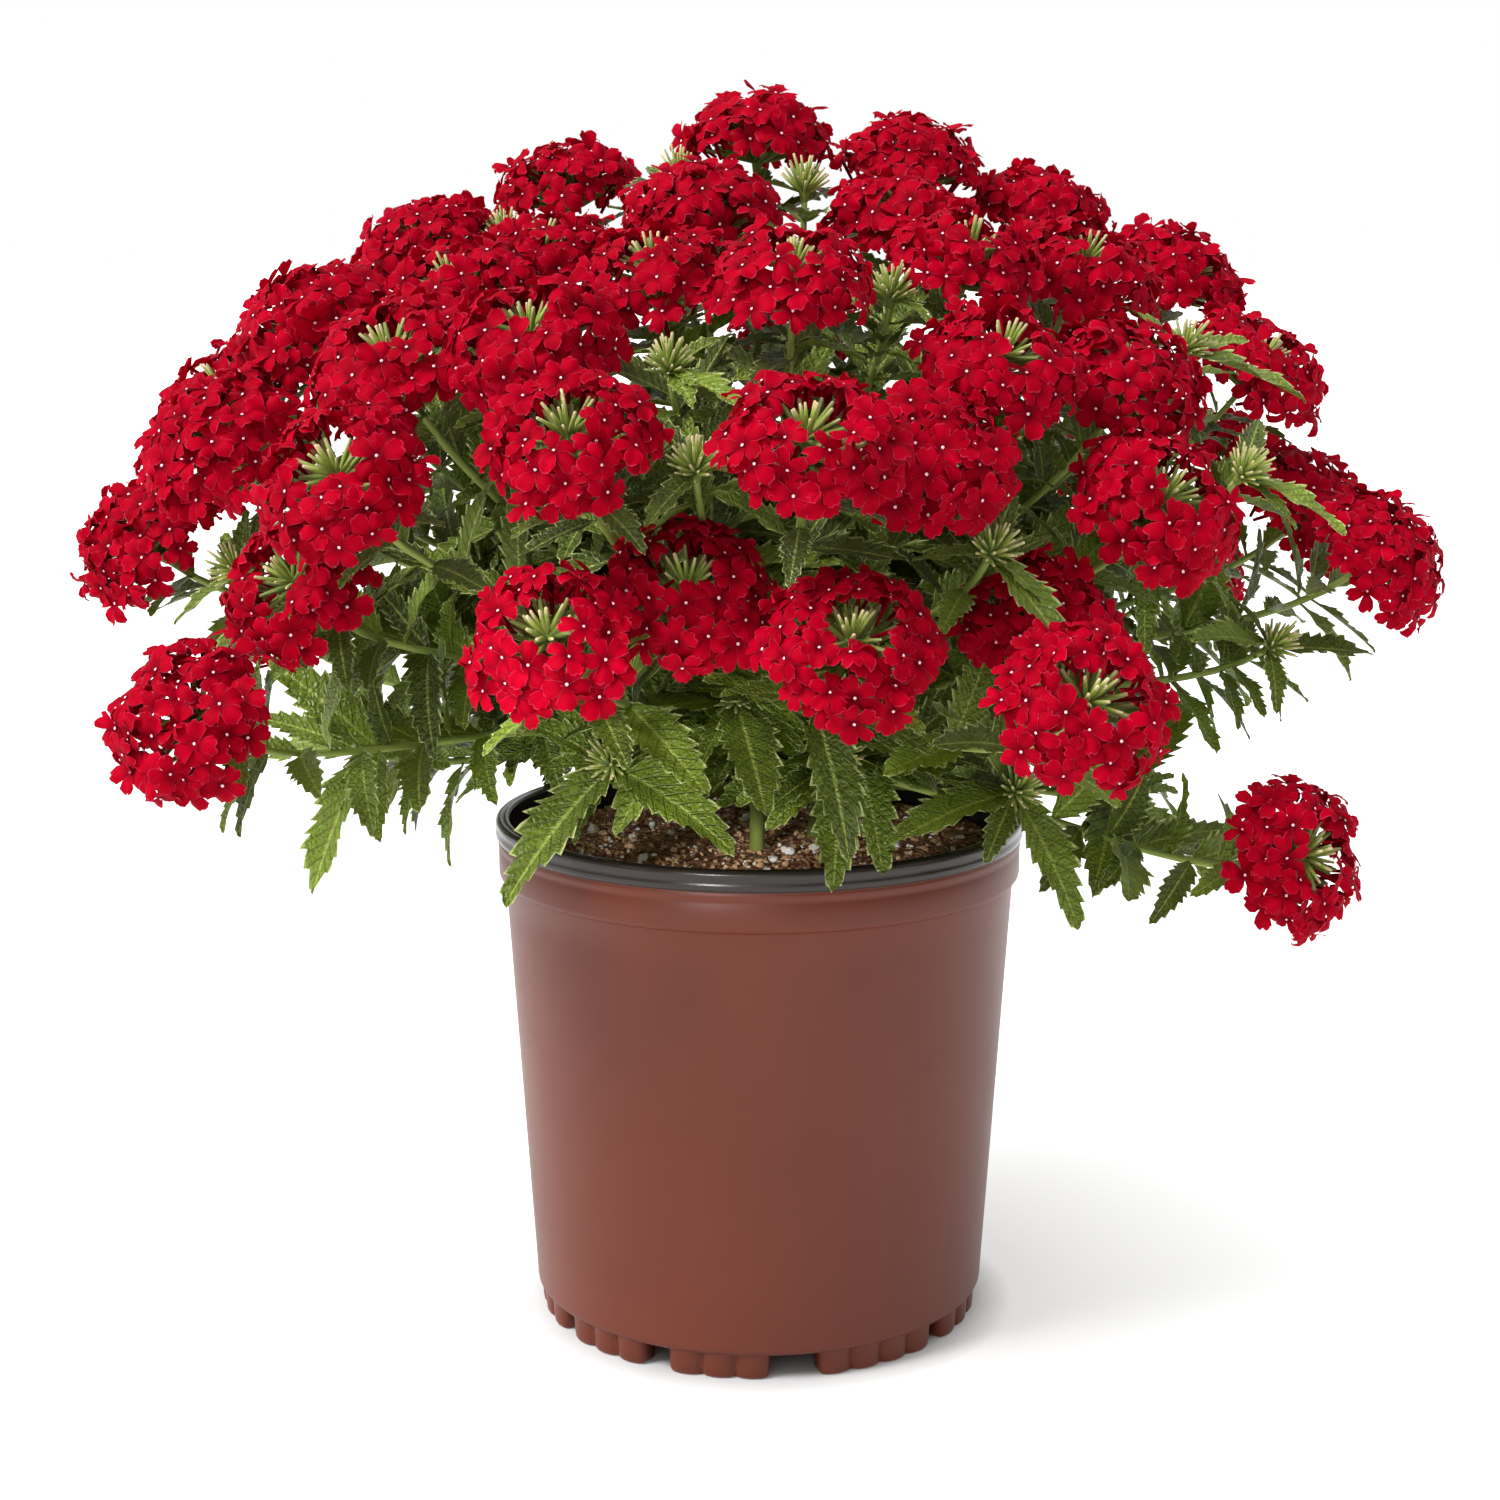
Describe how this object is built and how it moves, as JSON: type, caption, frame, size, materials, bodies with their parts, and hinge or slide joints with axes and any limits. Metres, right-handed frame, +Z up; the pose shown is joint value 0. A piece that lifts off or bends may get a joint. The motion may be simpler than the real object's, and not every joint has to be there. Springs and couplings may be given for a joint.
{
  "type": "potted bedding verbena",
  "caption": "Mounded bedding plant with toothed leaves and dense round flower heads, in a tapered nursery pot with a rolled lip and fluted feet.",
  "frame": {"origin": "on the floor under the pot, on the pot's axis, which is within 3 mm of the middle of the whole object's box", "axes": "+Z up along the pot's axis, -Y towards the front of the plant, +X to its right"},
  "size_m": [0.4009, 0.3775, 0.3804],
  "materials": {
    "pot_plastic": "satin",
    "potting_soil": "matte",
    "stems_and_leaves": "matte",
    "petals": "matte"
  },
  "bodies": {
    "root": {"pot": "pot_plastic", "soil": "potting_soil", "shoot_right": "stems_and_leaves", "head_right_01": "petals", "head_right_02": "petals", "head_right_03": "petals", "head_right_04": "petals", "head_right_05": "petals", "head_right_06": "petals", "head_right_07": "petals", "head_right_08": "petals", "head_right_09": "petals", "head_right_10": "petals", "head_right_11": "petals", "head_right_12": "petals", "head_right_13": "petals", "head_right_14": "petals", "head_right_15": "petals", "head_right_16": "petals", "shoot_back": "stems_and_leaves", "head_back_01": "petals", "head_back_02": "petals", "head_back_03": "petals", "head_back_04": "petals", "head_back_05": "petals", "head_back_06": "petals", "head_back_07": "petals", "head_back_08": "petals", "head_back_09": "petals", "shoot_left": "stems_and_leaves", "head_left_01": "petals", "head_left_02": "petals", "head_left_03": "petals", "head_left_04": "petals", "head_left_05": "petals", "head_left_06": "petals", "head_left_07": "petals", "head_left_08": "petals", "head_left_09": "petals", "head_left_10": "petals", "head_left_11": "petals", "head_left_12": "petals", "head_left_13": "petals", "head_left_14": "petals", "head_left_15": "petals", "shoot_front": "stems_and_leaves", "head_front_01": "petals", "head_front_02": "petals", "head_front_03": "petals", "head_front_04": "petals", "head_front_05": "petals", "head_front_06": "petals", "head_front_07": "petals", "head_front_08": "petals", "head_front_09": "petals", "head_front_10": "petals", "head_front_11": "petals", "head_front_12": "petals", "head_front_13": "petals", "head_front_14": "petals"}
  },
  "joints": []
}
